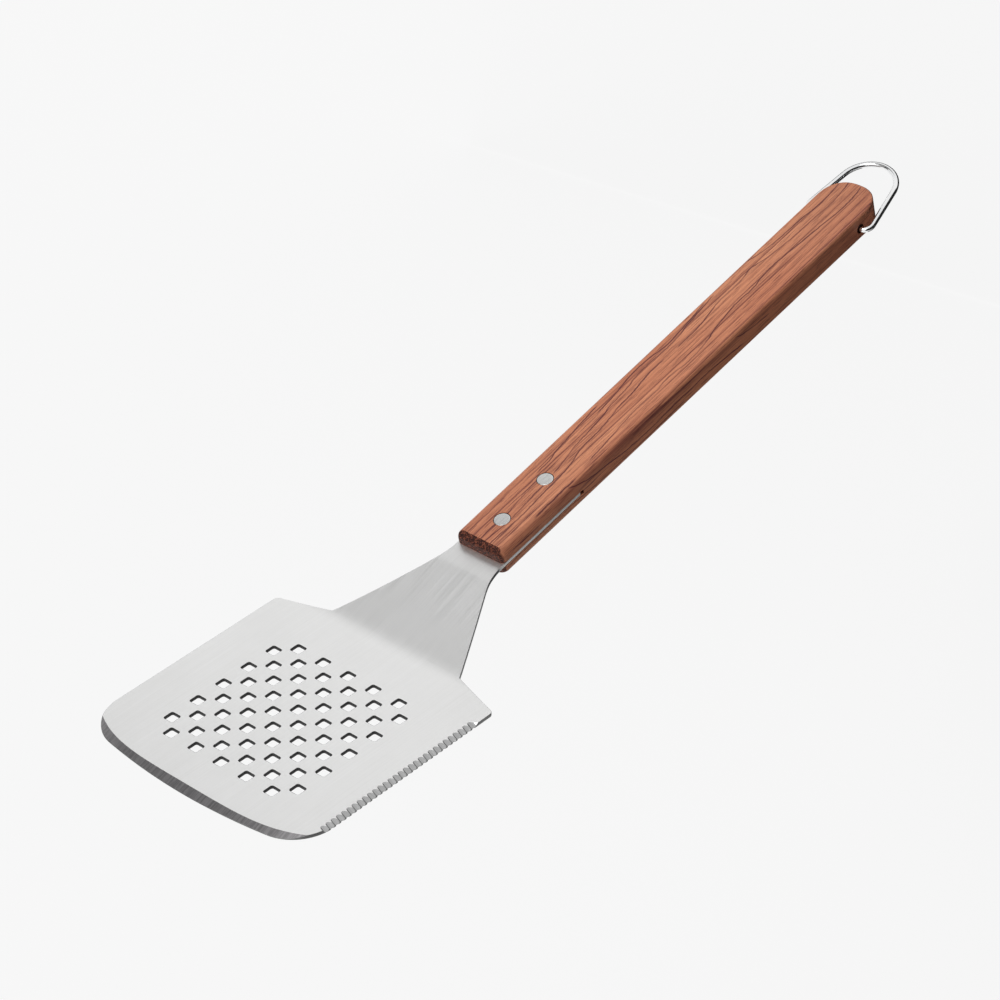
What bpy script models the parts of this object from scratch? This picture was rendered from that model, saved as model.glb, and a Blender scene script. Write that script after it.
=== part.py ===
"""Grill spatula: one bent sheet of steel (blade, neck and tang), a hardwood handle, two rivets
and a hanging loop of wire. Metres, +Z up, +X from the blade towards the hanging loop, +Y the
plain long edge of the blade. The handle lies level and the heel of the blade touches Z = 0 too,
which is how the spatula rests on a table."""

import math

import bmesh
import bpy
from mathutils import Matrix, Vector

MM = 0.001

# the assembly
TILT = math.radians(12.2)           # the blade's rise from heel to nose when the handle is level
BLADE_X = -161.93 * MM              # the blade frame's origin, centre of the hole pattern
RIVET_X = -36.48 * MM               # front rivet
RIVET_SPACING = 26.4 * MM
GAP = 0.3 * MM                      # clearance round every fitted piece

# the sheet
SHEET = 1.5 * MM
BLADE_HALF = 58.15 * MM
FRONT_X = -55.0 * MM
FRONT_R = 266.0 * MM
FRONT_CORNER_R = 19.0 * MM
BACK_X = 52.5 * MM
BACK_CORNER_R = 2.2 * MM
NOTCH = (59.7 * MM, 34.3 * MM)
NOTCH_R = 0.9 * MM
NECK_TAPER = 0.5175                 # half width lost per length of neck
NECK_FILLET_R = 30.0 * MM
TANG_HALF = 12.35 * MM
TANG_END = 32.2 * MM                # past the front rivet

# the side view of the sheet
HEEL_X = 59.55 * MM
HEEL_R = 31.0 * MM
WAIST = (80.0 * MM, 6.55 * MM)
WAIST_R = 250.0 * MM
KNEE_X = 98.7 * MM
KNEE_R = 25.0 * MM
TANG_TOP = 6.1 * MM                 # height of the tang's upper face above the table

# holes, teeth and ground edge
HOLE_PITCH = 13.5 * MM
HOLE_SIDE = 4.67 * MM
HOLE_R = 0.75 * MM
HOLE_ROWS = 5
TOOTH_PITCH = 2.7 * MM
TEETH = 30
TOOTH_START = -37.8 * MM
TOOTH_R = 1.5 * MM
TOOTH_DEPTH = 1.75 * MM
TOOTH_RUN = 3.0 * MM
BEVEL_X = -51.1 * MM                # where the ground edge begins, in the middle
BEVEL_SWEEP = 8.5 * MM              # how far back it is swept at BEVEL_END from the middle
BEVEL_END = 56.0 * MM
BEVEL_SLOPE = 0.34

# the handle
HANDLE_T = 12.3 * MM
HANDLE_FRONT = -15.1 * MM           # from the front rivet
HANDLE_BUTT = 234.8 * MM
HALF_FRONT = 12.5 * MM
HALF_BUTT = 12.75 * MM
BUTT_LENGTH = 14.5 * MM
BUTT_POWER = 2.4
ROUND_FRONT = (3.2 * MM, 4.8 * MM)  # the upper edge's rounding across and down, at the front
ROUND_BUTT = (0.7 * MM, 0.7 * MM)
FRONT_PLAN_R = 2.5 * MM
ROUND_UNDER = 2.6 * MM
CHAMFER = 2.4 * MM
SLOT_END = 34.0 * MM
RIVET_R = 3.42 * MM

# the hanging loop
PIVOT = 217.0 * MM                  # from the front rivet
PIVOT_Z = 6.15 * MM
PIVOT_HOLE_R = 2.1 * MM
WIRE_R = 1.25 * MM
LOOP_LIFT = math.radians(7.0)
LOOP_HALF = 17.2 * MM               # half width where the legs meet the pivot's axis
LOOP_LENGTH = 21.3 * MM             # pivot to the centre of the end bend
LOOP_R = 13.2 * MM
ELBOW_R = 3.4 * MM
WIRE_INNER = 5.5 * MM               # how near the wire's ends come to the middle


def start():
    for old in list(bpy.data.objects):
        bpy.data.objects.remove(old, do_unlink=True)
    part = bpy.data.collections.new("grill_spatula")
    cutters = bpy.data.collections.new("cutters")
    bpy.context.scene.collection.children.link(part)
    bpy.context.scene.collection.children.link(cutters)
    return part, cutters


PART, CUTTERS = start()


def material(name, colour, roughness, metallic):
    mat = bpy.data.materials.new(name)
    mat.use_nodes = True
    shader = mat.node_tree.nodes["Principled BSDF"]
    shader.inputs["Base Color"].default_value = (*colour, 1.0)
    shader.inputs["Roughness"].default_value = roughness
    shader.inputs["Metallic"].default_value = metallic
    return mat


def add(name, bm, collection, mat=None):
    bmesh.ops.recalc_face_normals(bm, faces=bm.faces)
    mesh = bpy.data.meshes.new(name)
    bm.to_mesh(mesh)
    bm.free()
    obj = bpy.data.objects.new(name, mesh)
    collection.objects.link(obj)
    if mat:
        mesh.materials.append(mat)
    if collection is CUTTERS:
        obj.hide_render = True
        obj.display_type = "WIRE"
    return obj


def cut(obj, tool, operation="DIFFERENCE"):
    mod = obj.modifiers.new(tool.name, "BOOLEAN")
    mod.operation = operation
    mod.solver = "EXACT"
    mod.object = tool
    return mod


def arc(cx, cy, r, a0, a1, n):
    """Points on a circle from angle a0 to a1."""
    steps = [a0 + (a1 - a0) * i / n for i in range(n + 1)]
    return [(cx + r * math.cos(a), cy + r * math.sin(a)) for a in steps]


def rounded(points, n=6):
    """A path through (x, y, radius) corners, each replaced by an arc of its radius."""
    out = []
    last = len(points) - 1
    for i, (x, y, r) in enumerate(points):
        here = Vector((x, y))
        if not r or i in (0, last):
            out.append((x, y))
            continue
        back = (Vector(points[i - 1][:2]) - here).normalized()
        ahead = (Vector(points[i + 1][:2]) - here).normalized()
        half = math.acos(max(-1.0, min(1.0, back.dot(ahead)))) / 2
        reach = r / math.tan(half)
        centre = here + (back + ahead).normalized() * (r / math.sin(half))
        begin = here + back * reach - centre
        turn = begin.angle_signed(here + ahead * reach - centre)
        a0 = math.atan2(begin.y, begin.x)
        out += arc(centre.x, centre.y, r, a0, a0 - turn, n)
    return out


def prism(outline, z0, z1):
    """A closed XY outline carried from z0 to z1."""
    bm = bmesh.new()
    face = bm.faces.new([bm.verts.new((x, y, z0)) for x, y in outline])
    up = bmesh.ops.extrude_face_region(bm, geom=[face])
    verts = [v for v in up["geom"] if isinstance(v, bmesh.types.BMVert)]
    bmesh.ops.translate(bm, vec=(0, 0, z1 - z0), verts=verts)
    return bm


def cylinder(name, r, length, segments, collection, mat=None):
    bm = bmesh.new()
    bmesh.ops.create_cone(bm, cap_ends=True, segments=segments, radius1=r, radius2=r, depth=length)
    return add(name, bm, collection, mat)


# the blade's own frame: origin at the middle of the hole pattern, on the upper face
HEEL_START = HEEL_X - HEEL_R * math.tan(math.atan2(WAIST[1], WAIST[0] - HEEL_X) / 2)
BLADE_Z = HEEL_R + SHEET - HEEL_R * math.cos(TILT) + HEEL_START * math.sin(TILT)
BLADE = Matrix.Translation((BLADE_X, 0, BLADE_Z)) @ Matrix.Rotation(TILT, 4, "Y")


def sheet_profile():
    """Upper line of the side view, then the same line one thickness lower."""
    knee_z = (TANG_TOP - BLADE_Z + KNEE_X * math.sin(TILT)) / math.cos(TILT)
    end_x = KNEE_X + 75 * MM
    top = rounded([
        (-70 * MM, 0, 0),
        (HEEL_X, 0, HEEL_R),
        (WAIST[0], WAIST[1], WAIST_R),
        (KNEE_X, knee_z, KNEE_R),
        (end_x, knee_z + (end_x - KNEE_X) * math.tan(TILT), 0),
    ], 8)
    under = []
    for i, (x, z) in enumerate(top):
        x0, z0 = top[max(i - 1, 0)]
        x1, z1 = top[min(i + 1, len(top) - 1)]
        along = Vector((x1 - x0, z1 - z0)).normalized()
        under.append((x + along.y * SHEET, z - along.x * SHEET))
    return top + under[::-1]


def blade_outline():
    """The flat outline seen from above, one side worked out and the other mirrored."""
    cx = FRONT_X + FRONT_R
    fy = BLADE_HALF - FRONT_CORNER_R
    fx = cx - math.sqrt((FRONT_R - FRONT_CORNER_R) ** 2 - fy ** 2)
    lean = math.atan2(fy, cx - fx)
    half = arc(cx, 0, FRONT_R, math.pi, math.pi - lean, 18)
    half += arc(fx, fy, FRONT_CORNER_R, math.pi - lean, math.pi / 2, 12)[1:]
    meet = NOTCH[0] + (NOTCH[1] - TANG_HALF) / NECK_TAPER
    along = RIVET_X + TANG_END - BLADE_X
    end_x = along * math.cos(TILT) - (TANG_TOP - BLADE_Z) * math.sin(TILT)
    half += rounded([
        (0, BLADE_HALF, 0),
        (BACK_X, BLADE_HALF, BACK_CORNER_R),
        (NOTCH[0], NOTCH[1], NOTCH_R),
        (meet, TANG_HALF, NECK_FILLET_R),
        (end_x, TANG_HALF, 0),
    ], 8)
    return half + [(x, -y) for x, y in half[::-1]][:-1]


def loft(rings):
    """A closed body through rings of equal count, with a flat end on the first and the last."""
    bm = bmesh.new()
    loops = [[bm.verts.new(p) for p in ring] for ring in rings]
    bm.faces.new(loops[0])
    bm.faces.new(loops[-1][::-1])
    for one, two in zip(loops, loops[1:]):
        for i in range(len(one)):
            j = (i + 1) % len(one)
            bm.faces.new((one[i], two[i], two[j], one[j]))
    return bm


def square_hole(cx, cy):
    h = HOLE_SIDE / 2
    c = h - HOLE_R
    points = []
    for k in range(4):
        a = k * math.pi / 2
        corner = arc(c, c, HOLE_R, 0, math.pi / 2, 3)
        points += [(x * math.cos(a) - y * math.sin(a), x * math.sin(a) + y * math.cos(a)) for x, y in corner]
    return [(cx + x, cy + y) for x, y in points]


def make_blade():
    steel = material("brushed_steel", (0.62, 0.62, 0.60), 0.32, 1.0)
    bm = prism(sheet_profile(), -70 * MM, 70 * MM)
    bmesh.ops.rotate(bm, verts=bm.verts, matrix=Matrix.Rotation(math.pi / 2, 3, "X"))
    blade = add("blade", bm, PART, steel)
    blade.matrix_world = BLADE

    plan = add("plan_of_sheet", prism(blade_outline(), -20 * MM, 60 * MM), CUTTERS)
    plan.matrix_world = BLADE
    cut(blade, plan, "INTERSECT")

    bm = bmesh.new()
    step = HOLE_PITCH / 2
    for i in range(-HOLE_ROWS, HOLE_ROWS + 1):
        for j in range(-HOLE_ROWS, HOLE_ROWS + 1):
            if (i + j) % 2:
                face = bm.faces.new([bm.verts.new((x, y, -5 * MM)) for x, y in square_hole(i * step, j * step)])
                up = bmesh.ops.extrude_face_region(bm, geom=[face])
                verts = [v for v in up["geom"] if isinstance(v, bmesh.types.BMVert)]
                bmesh.ops.translate(bm, vec=(0, 0, 8 * MM), verts=verts)
    holes = add("drain_holes", bm, CUTTERS)
    holes.matrix_world = BLADE
    cut(blade, holes)

    # the ground front edge: a sloping cut that begins at a line swept back towards the corners
    section = [(2 * MM / BEVEL_SLOPE, 2 * MM), (-40 * MM, 2 * MM), (-40 * MM, -3 * MM),
               (-3 * MM / BEVEL_SLOPE, -3 * MM)]
    rings = []
    for i in range(-31, 32):
        y = i * 2 * MM
        begin = BEVEL_X + BEVEL_SWEEP * (abs(y) / BEVEL_END) ** 4
        rings.append([(begin + x, y, z) for x, z in section])
    grind = add("front_grind", loft(rings), CUTTERS)
    grind.matrix_world = BLADE
    cut(blade, grind)

    # the teeth: round grooves that start on the upper face and run out through the edge;
    # neighbours overlap, so every second one goes in a cutter of its own
    slope = math.atan2(TOOTH_DEPTH, TOOTH_RUN)
    rise = TOOTH_R / math.cos(slope) - TOOTH_DEPTH
    lean = Matrix.Rotation(math.pi / 2 + slope, 4, "X")
    for first in (0, 1):
        bm = bmesh.new()
        for i in range(first, TEETH, 2):
            place = Matrix.Translation((TOOTH_START + TOOTH_PITCH * (i + 0.5), -BLADE_HALF, rise)) @ lean
            bmesh.ops.create_cone(bm, cap_ends=True, segments=20, radius1=TOOTH_R, radius2=TOOTH_R,
                                  depth=16 * MM, matrix=place)
        grooves = add("grooves_%d" % first, bm, CUTTERS)
        grooves.matrix_world = BLADE
        cut(blade, grooves)
    return blade


def handle_ring(height, inset):
    """The handle seen from above, drawn in by inset(x) and lifted to height(x)."""
    corner = arc(HANDLE_FRONT + FRONT_PLAN_R, HALF_FRONT - FRONT_PLAN_R, FRONT_PLAN_R, math.pi, math.pi / 2, 6)
    side = [(x, y, 0.0, 1.0) for x, y in corner]
    begin = HANDLE_FRONT + FRONT_PLAN_R
    sides = 24
    for i in range(1, sides + 1):
        x = begin + (HANDLE_BUTT - BUTT_LENGTH - begin) * i / sides
        side.append((x, HALF_FRONT + (HALF_BUTT - HALF_FRONT) * i / sides, 0.0, 1.0))
    turns = 14
    for i in range(1, turns):
        t = math.pi / 2 * i / turns
        c = math.cos(t)
        s = math.sin(t)
        x = HANDLE_BUTT - BUTT_LENGTH + BUTT_LENGTH * s ** (2 / BUTT_POWER)
        y = HALF_BUTT * c ** (2 / BUTT_POWER)
        slope = Vector((s ** (2 - 2 / BUTT_POWER) / BUTT_LENGTH, c ** (2 - 2 / BUTT_POWER) / HALF_BUTT))
        slope.normalize()
        side.append((x, y, slope.x, slope.y))
    side.append((HANDLE_BUTT, 0.0, 1.0, 0.0))
    ring = [(x - nx * inset(x), y - ny * inset(x), height(x)) for x, y, nx, ny in side]
    return ring + [(x, -y, z) for x, y, z in ring[::-1]][1:]


def round_top(x, way):
    """The upper edge's rounding at x: way 0 across, way 1 down. It is softest at the front."""
    part = (x - HANDLE_FRONT) / (HANDLE_BUTT - HANDLE_FRONT)
    return ROUND_FRONT[way] + (ROUND_BUTT[way] - ROUND_FRONT[way]) * part


def make_handle():
    wood = material("oiled_hardwood", (0.38, 0.17, 0.10), 0.5, 0.0)
    rings = []
    steps = 7
    for k in range(steps + 1):
        a = math.pi / 2 * k / steps
        rings.append(handle_ring(lambda x: HANDLE_T - round_top(x, 1) * (1 - math.cos(a)),
                                 lambda x: round_top(x, 0) * (1 - math.sin(a))))
    for k in range(steps + 1):
        a = math.pi / 2 * k / steps
        rings.append(handle_ring(lambda x: ROUND_UNDER * (1 - math.sin(a)),
                                 lambda x: ROUND_UNDER * (1 - math.cos(a))))
    handle = add("handle", loft(rings), PART, wood)
    handle.location = (RIVET_X, 0, 0)

    # front end: the upper edge is chamfered
    bm = bmesh.new()
    bmesh.ops.create_cube(bm, size=30 * MM)
    corner = add("front_chamfer", bm, CUTTERS)
    corner.rotation_euler = (0, math.radians(-45), 0)
    out = 15 * MM / math.sqrt(2) - CHAMFER / 2
    corner.location = (RIVET_X + HANDLE_FRONT - out, 0, HANDLE_T + out)
    cut(handle, corner)

    # the sawn slot that takes the tang, open at the front and on both sides
    bm = bmesh.new()
    bmesh.ops.create_cube(bm, size=1)
    slot = add("tang_slot", bm, CUTTERS)
    slot.scale = (SLOT_END - HANDLE_FRONT + 10 * MM, 40 * MM, SHEET + 2 * GAP)
    slot.location = (RIVET_X + (SLOT_END + HANDLE_FRONT - 10 * MM) / 2, 0, TANG_TOP - SHEET / 2)
    cut(handle, slot)
    return handle


def make_rivets(blade, handle):
    steel = material("rivet_steel", (0.66, 0.66, 0.64), 0.38, 1.0)
    for name, x in (("rivet_front", 0.0), ("rivet_rear", RIVET_SPACING)):
        bore = cylinder("bore_" + name, RIVET_R + GAP, 30 * MM, 40, CUTTERS)
        bore.location = (RIVET_X + x, 0, HANDLE_T / 2)
        cut(blade, bore)
        cut(handle, bore)
        rivet = cylinder(name, RIVET_R, HANDLE_T, 48, PART, steel)
        rivet.location = (RIVET_X + x, 0, HANDLE_T / 2)
        edge = rivet.modifiers.new("edge", "BEVEL")
        edge.width = 0.2 * MM
        edge.segments = 2
        edge.limit_method = "ANGLE"


def make_loop(handle):
    chrome = material("chromed_wire", (0.72, 0.72, 0.73), 0.12, 1.0)
    hole = cylinder("pivot_hole", PIVOT_HOLE_R, 40 * MM, 32, CUTTERS)
    hole.rotation_euler = (math.pi / 2, 0, 0)
    hole.location = (RIVET_X + PIVOT, 0, PIVOT_Z)
    cut(handle, hole)

    # half the wire: into the hole, round the elbow, along the leg and round half the end bend
    away = Vector((-LOOP_LENGTH, LOOP_HALF))
    touch = math.atan2(away.y, away.x) - math.acos(LOOP_R / away.length)
    half = rounded([
        (0, WIRE_INNER, 0),
        (0, LOOP_HALF, ELBOW_R),
        (LOOP_LENGTH + LOOP_R * math.cos(touch), LOOP_R * math.sin(touch), 0),
    ], 8)
    half += arc(LOOP_LENGTH, 0, LOOP_R, touch, 0, 14)[1:]
    path = half + [(x, -y) for x, y in half[::-1]][1:]
    curve = bpy.data.curves.new("hanging_loop", "CURVE")
    curve.dimensions = "3D"
    curve.bevel_depth = WIRE_R
    curve.bevel_resolution = 4
    curve.use_fill_caps = True
    spline = curve.splines.new("POLY")
    spline.points.add(len(path) - 1)
    for point, (x, y) in zip(spline.points, path):
        point.co = (x, y, 0, 1)
    wire = bpy.data.objects.new("wire_path", curve)
    CUTTERS.objects.link(wire)
    bpy.context.view_layer.update()
    mesh = bpy.data.meshes.new_from_object(wire.evaluated_get(bpy.context.evaluated_depsgraph_get()))
    bpy.data.objects.remove(wire, do_unlink=True)
    bm = bmesh.new()
    bm.from_mesh(mesh)
    bmesh.ops.remove_doubles(bm, verts=bm.verts, dist=0.00001)
    loop = add("hanging_loop", bm, PART, chrome)
    loop.location = (RIVET_X + PIVOT, 0, PIVOT_Z)
    loop.rotation_euler = (0, -LOOP_LIFT, 0)
    return loop


BLADE_OBJECT = make_blade()
HANDLE_OBJECT = make_handle()
make_rivets(BLADE_OBJECT, HANDLE_OBJECT)
LOOP_OBJECT = make_loop(HANDLE_OBJECT)
for piece in PART.objects:
    if piece.name in ("rivet_front", "rivet_rear", "hanging_loop"):
        piece.data.shade_smooth()
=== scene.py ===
# %% [markdown]
# # A grill spatula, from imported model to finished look
#
# The spatula has five pieces: one bent sheet of steel that is blade, neck and tang in one, a
# hardwood handle, two rivets and a hanging loop of wire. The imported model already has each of
# them in the right place and size. Here every piece gets a finer surface and a finish of its
# own. Lengths are in metres, +X runs from the blade to the hanging loop and +Z is up.

import math

import bmesh
import bpy
import numpy as np
from mathutils import Matrix, Vector
from mathutils.geometry import delaunay_2d_cdt


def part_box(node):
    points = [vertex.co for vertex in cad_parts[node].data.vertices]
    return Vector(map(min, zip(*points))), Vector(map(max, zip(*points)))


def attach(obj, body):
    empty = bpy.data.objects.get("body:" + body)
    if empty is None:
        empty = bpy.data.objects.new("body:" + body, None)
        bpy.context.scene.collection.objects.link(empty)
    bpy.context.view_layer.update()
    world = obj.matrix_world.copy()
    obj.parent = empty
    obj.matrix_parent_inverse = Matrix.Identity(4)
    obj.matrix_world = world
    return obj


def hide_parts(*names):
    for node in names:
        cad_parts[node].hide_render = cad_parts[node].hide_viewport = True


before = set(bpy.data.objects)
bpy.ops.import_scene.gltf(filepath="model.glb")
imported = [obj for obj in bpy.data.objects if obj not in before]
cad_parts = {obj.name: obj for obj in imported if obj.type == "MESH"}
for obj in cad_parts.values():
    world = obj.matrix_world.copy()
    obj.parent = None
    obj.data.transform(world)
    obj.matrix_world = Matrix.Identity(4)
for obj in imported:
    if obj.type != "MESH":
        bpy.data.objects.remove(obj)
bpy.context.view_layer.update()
MM = 0.001

# %% [markdown]
# ## The camera and the light
#
# The camera looks down on the near long edge of the blade with a long lens, so the spatula lies
# across the view from lower left to upper right. Steel shows its surroundings more than its own
# colour, and a plain bright room alone would leave it without any shape. So five cards stand
# round it that the camera can't see, as in a studio: a grey one above, and dark ones behind, in
# front, below and to the right. The sloping neck and the ground edge mirror the one above, the
# one in front keeps the side of the wood dark, and the wire mirrors the dark ones. They suit
# this camera: from behind, the blade mirrors the dark cards and looks dark grey. The floor is
# pale and well below the spatula, so no hard shadow falls on it.

# %% A mesh object from arrays
def piece_from(name, points, faces, materials=(), face_material=None):
    """An object at the origin with these corner points and faces. Each face takes the material
    whose number face_material gives, or the first one."""
    mesh = bpy.data.meshes.new(name)
    mesh.from_pydata(np.asarray(points, float).tolist(), [], [list(map(int, f)) for f in faces])
    for item in materials:
        mesh.materials.append(item)
    if face_material is not None:
        mesh.polygons.foreach_set("material_index", np.asarray(face_material, np.int32))
    mesh.update()
    made = bpy.data.objects.new(name, mesh)
    bpy.context.scene.collection.objects.link(made)
    return made


# %% Camera
CAMERA_TURN = ((0.6497, 0.6044, -0.4611), (-0.7383, 0.3574, -0.5720), (-0.1809, 0.7120, 0.6785))
CAMERA_PLACE = (-0.66005, -0.7753, 0.9414)
LENS_MM = 124.2

camera_data = bpy.data.cameras.new("camera")
camera_data.lens = LENS_MM
camera_data.sensor_width = 36.0
camera = bpy.data.objects.new("camera", camera_data)
bpy.context.scene.collection.objects.link(camera)
camera.matrix_world = Matrix.Translation(CAMERA_PLACE) @ Matrix(CAMERA_TURN).to_4x4()
bpy.context.scene.camera = camera
print("camera", LENS_MM, "mm lens,", round(Vector(CAMERA_PLACE).length, 3), "m from the spatula")

# %% Material helpers
def put(tree, kind, feeds=None, **settings):
    """A shader node of this kind. feeds fills its sockets, each with a value or another node's
    output, and settings sets its options."""
    node = tree.nodes.new("ShaderNode" + kind)
    for key, value in settings.items():
        setattr(node, key, value)
    for key, value in (feeds or {}).items():
        if isinstance(value, bpy.types.NodeSocket):
            tree.links.new(value, node.inputs[key])
        else:
            node.inputs[key].default_value = value
    return node


def calc(tree, operation, *values):
    """One step of arithmetic on numbers or node outputs."""
    return put(tree, "Math", dict(enumerate(values)), operation=operation).outputs[0]


def blend(tree, share, one, two):
    """A colour that goes from one to two as share goes from 0 to 1."""
    return put(tree, "Mix", {0: share, 6: one, 7: two}, data_type="RGBA").outputs[2]


def spread(tree, value, low, high, to_low, to_high):
    """value moved from the span low..high to the span to_low..to_high, and held inside it."""
    return put(tree, "MapRange", {"Value": value, "From Min": low, "From Max": high,
                                  "To Min": to_low, "To Max": to_high}).outputs["Result"]


def noise(tree, place, scale, detail=4.0, roughness=0.55):
    """A soft random pattern at a place that grain_place has stretched."""
    return put(tree, "TexNoise", {"Vector": place, "Scale": scale, "Detail": detail,
                                  "Roughness": roughness}).outputs["Fac"]


def grain_place(tree, stretch, centre=(0.0, 0.0, 0.0), turn=(0.0, 0.0, 0.0)):
    """The object's own place, moved by centre, turned and stretched, so that a pattern runs
    along one direction."""
    own = put(tree, "TexCoord").outputs["Object"]
    return put(tree, "Mapping", {"Vector": own, "Location": centre, "Rotation": turn,
                                 "Scale": stretch}, vector_type="POINT").outputs["Vector"]


def finish_of(name, metallic=0.0, roughness=0.5, colour=(0.5, 0.5, 0.5)):
    """A new material and its shader, with what is the same all over set on the shader."""
    material = bpy.data.materials.new(name)
    material.use_nodes = True
    shader = material.node_tree.nodes["Principled BSDF"]
    shader.inputs["Metallic"].default_value = metallic
    shader.inputs["Roughness"].default_value = roughness
    shader.inputs["Base Color"].default_value = (*colour, 1.0)
    return material, material.node_tree, shader


def lead(tree, output, shader, name):
    """Feeds a node's output to the shader's socket of this name."""
    tree.links.new(output, shader.inputs[name])


def raise_by(tree, shader, height, strength, distance):
    """Lets a pattern stand out from the surface, by a distance in metres times strength."""
    bump = put(tree, "Bump", {"Strength": strength, "Distance": distance, "Height": height})
    lead(tree, bump.outputs[0], shader, "Normal")


# %% Floor, room and cards
FLOOR_Z, HALF_FLOOR, FLOOR_LIGHT = -0.45, 12.0, 0.890
ROOM_LIGHT = 0.90

world = bpy.data.worlds.new("room")
world.use_nodes = True
world.node_tree.nodes["Background"].inputs["Color"].default_value = (1.0, 1.0, 1.0, 1.0)
world.node_tree.nodes["Background"].inputs["Strength"].default_value = ROOM_LIGHT
bpy.context.scene.world = world
bpy.context.scene.view_settings.view_transform = "Standard"

pale, tree, shader = finish_of("pale_floor", roughness=0.9, colour=(0.05, 0.05, 0.05))
shader.inputs["Emission Color"].default_value = (1.0, 1.0, 1.0, 1.0)
shader.inputs["Emission Strength"].default_value = FLOOR_LIGHT
shader.inputs["Specular IOR Level"].default_value = 0.0
speck = noise(tree, grain_place(tree, (1, 1, 1)), 30.0)
lead(tree, spread(tree, speck, 0.3, 0.7, 0.85, 0.95), shader, "Roughness")
floor_corners = [(sx * HALF_FLOOR, sy * HALF_FLOOR, FLOOR_Z)
                 for sx, sy in ((-1, -1), (1, -1), (1, 1), (-1, 1))]
floor = piece_from("floor", floor_corners, [(0, 1, 2, 3)], [pale])


def card(name, centre, facing, width, height, level):
    """A flat card that faces along facing. The camera doesn't see it, but the steel does."""
    back = Vector(facing).normalized()
    side = Vector((0, 0, 1)).cross(back).normalized()
    up = back.cross(side)
    corners = [Vector(centre) + side * (sx * width / 2) + up * (sy * height / 2)
               for sx, sy in ((-1, -1), (1, -1), (1, 1), (-1, 1))]
    paint, _, _ = finish_of(name, roughness=1.0, colour=(level, level, level))
    made = piece_from(name, corners, [(0, 1, 2, 3)], [paint])
    made.visible_camera = False


card("card_above", (0.02, 0.52, 0.80), (-0.1, -0.55, -0.8), 0.75, 0.55, 0.32)
card("card_behind", (-0.45, 0.60, 0.42), (0.65, -0.6, -0.4), 0.60, 0.45, 0.03)
card("card_side", (0.15, -0.36, 0.20), (0.0, 1.0, 0.0), 1.3, 0.84, 0.02)
card("card_low", (0.40, -0.18, -0.30), (-0.1, 0.1, 1.0), 0.42, 0.50, 0.02)
card("card_right", (0.62, 0.10, -0.12), (-1.0, -0.1, 0.1), 1.1, 0.66, 0.02)


def lamp(name, place, size, power):
    """A square soft light that points at the spatula."""
    data = bpy.data.lights.new(name, "AREA")
    data.size = size
    data.energy = power
    made = bpy.data.objects.new(name, data)
    made.matrix_world = Matrix.Translation(place) @ (
        Vector((0, 0, 0)) - Vector(place)).to_track_quat("-Z", "Y").to_matrix().to_4x4()
    bpy.context.scene.collection.objects.link(made)


lamp("soft_key", (-0.5, 0.1, 1.5), 0.7, 9.0)

# %% [markdown]
# ## The sheet: one piece of steel, bent and punched
#
# Blade, neck and tang are stamped from one sheet 1.5 mm thick. Seen from above it is a plain
# outline with holes, and seen from the side a line with three bends. So the whole sheet is a
# height over a flat plan: the upper face is the side line's height, lowered where the front is
# ground and where the teeth are cut. The plan is filled with triangles that have the outline,
# the holes, the teeth, the ground edge's start and lines across the bends as fixed lines. Then
# it is lifted twice, for the upper and the lower face. Round every edge goes a narrow
# quarter-round, which a real stamping has too. Everything is worked out in the blade's own
# frame, and then leaned back by 12.2 degrees.

# %% Sizes of the sheet
TILT = math.radians(12.2)
SHEET = 1.5 * MM
SKIN = 0.004 * MM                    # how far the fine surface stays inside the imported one
BLADE_HALF = 58.15 * MM
FRONT_X, FRONT_R, CORNER_R = -55.0 * MM, 266.0 * MM, 19.0 * MM
BACK_X, NOTCH_X, NOTCH_Y = 52.5 * MM, 59.7 * MM, 34.3 * MM
NECK_TAPER, NECK_FILLET = 0.5175, 30.0 * MM
TANG_HALF = 12.35 * MM
HEEL_X, HEEL_R = 59.55 * MM, 31.0 * MM
WAIST_X, WAIST_Z, WAIST_R = 80.0 * MM, 6.55 * MM, 250.0 * MM
KNEE_X, KNEE_R = 98.7 * MM, 25.0 * MM
TANG_TOP = 6.1 * MM
BLADE_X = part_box("blade")[0].x - FRONT_X * math.cos(TILT) + SHEET * math.sin(TILT)
HEEL_START = HEEL_X - HEEL_R * math.tan(math.atan2(WAIST_Z, WAIST_X - HEEL_X) / 2)
BLADE_Z = HEEL_R + SHEET - HEEL_R * math.cos(TILT) + HEEL_START * math.sin(TILT)
TANG_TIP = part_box("blade")[1].x
RIVETS = [sum(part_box(name), Vector()) / 2 for name in ("rivet_front", "rivet_rear")]
print("blade frame at", round(BLADE_X / MM, 2), round(BLADE_Z / MM, 2), "mm")


# %% Lines with rounded corners
def turn_path(corners, steps):
    """A path through the corners (x, y, radius). Each corner becomes an arc: its centre lies on
    the corner's bisector, and the arc touches both neighbouring lines."""
    points = np.array([c[:2] for c in corners], float)
    path = [points[:1]]
    for here, before, after, (_, _, radius) in zip(points[1:-1], points[:-2], points[2:], corners[1:-1]):
        back = (before - here) / np.linalg.norm(before - here)
        ahead = (after - here) / np.linalg.norm(after - here)
        half = math.acos(float(back @ ahead)) / 2
        centre = here + (back + ahead) / np.linalg.norm(back + ahead) * radius / math.sin(half)
        start = here + back * radius / math.tan(half) - centre
        swing = math.copysign(math.pi - 2 * half, float(np.cross(-back, ahead)))
        angles = math.atan2(start[1], start[0]) + swing * np.linspace(0, 1, steps + 1)
        path.append(centre + radius * np.stack([np.cos(angles), np.sin(angles)], 1))
    return np.concatenate(path + [points[-1:]])


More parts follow.
